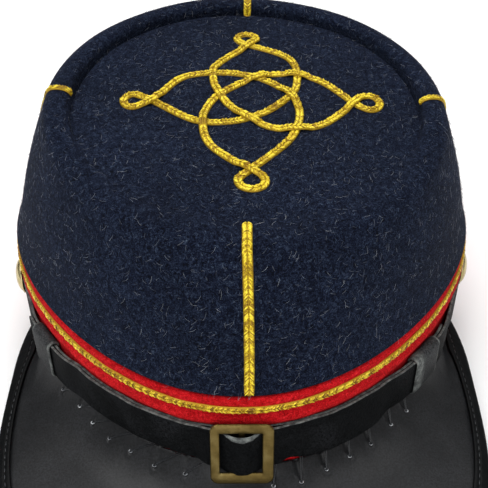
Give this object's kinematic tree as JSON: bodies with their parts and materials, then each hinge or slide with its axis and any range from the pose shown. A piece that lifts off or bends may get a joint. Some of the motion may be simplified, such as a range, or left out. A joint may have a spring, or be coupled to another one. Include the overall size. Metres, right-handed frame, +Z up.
{
  "type": "kepi cap",
  "caption": "Wool kepi cap with a sunken round top, a contrasting band, braid trim and a looped top knot, a leather peak, and a buckled chin strap hung on brass side buttons.",
  "frame": {"origin": "middle of the bounding box on the surface that the hat rests on", "axes": "+Z up, -Y to the front, where the peak is, +X to the wearer's left, which is the right-hand side seen from the front; the hat is leant back a little, as it rests by itself"},
  "size_m": [0.1808, 0.2658, 0.1088],
  "materials": {
    "navy_wool": "matt felted wool with lint",
    "red_wool": "matt felted wool",
    "gold_braid": "two-cord gold braid with a soft shine",
    "peak_leather": "smooth semi-gloss black leather",
    "strap_leather": "black leather with raw grey cut edges",
    "brass": "dull antique brass"
  },
  "bodies": {
    "root": {"crown_side": "navy_wool", "crown_top": "navy_wool", "band": "red_wool", "band_braid": "gold_braid", "braid_front": "gold_braid", "braid_back": "gold_braid", "braid_left": "gold_braid", "braid_right": "gold_braid", "top_knot": "gold_braid", "peak": "peak_leather", "peak_binding": "peak_leather", "strap_left": "strap_leather", "strap_right": "strap_leather", "keeper_left": "strap_leather", "keeper_right": "strap_leather", "buckle": "brass", "button_left": "brass", "button_right": "brass"}
  },
  "joints": []
}
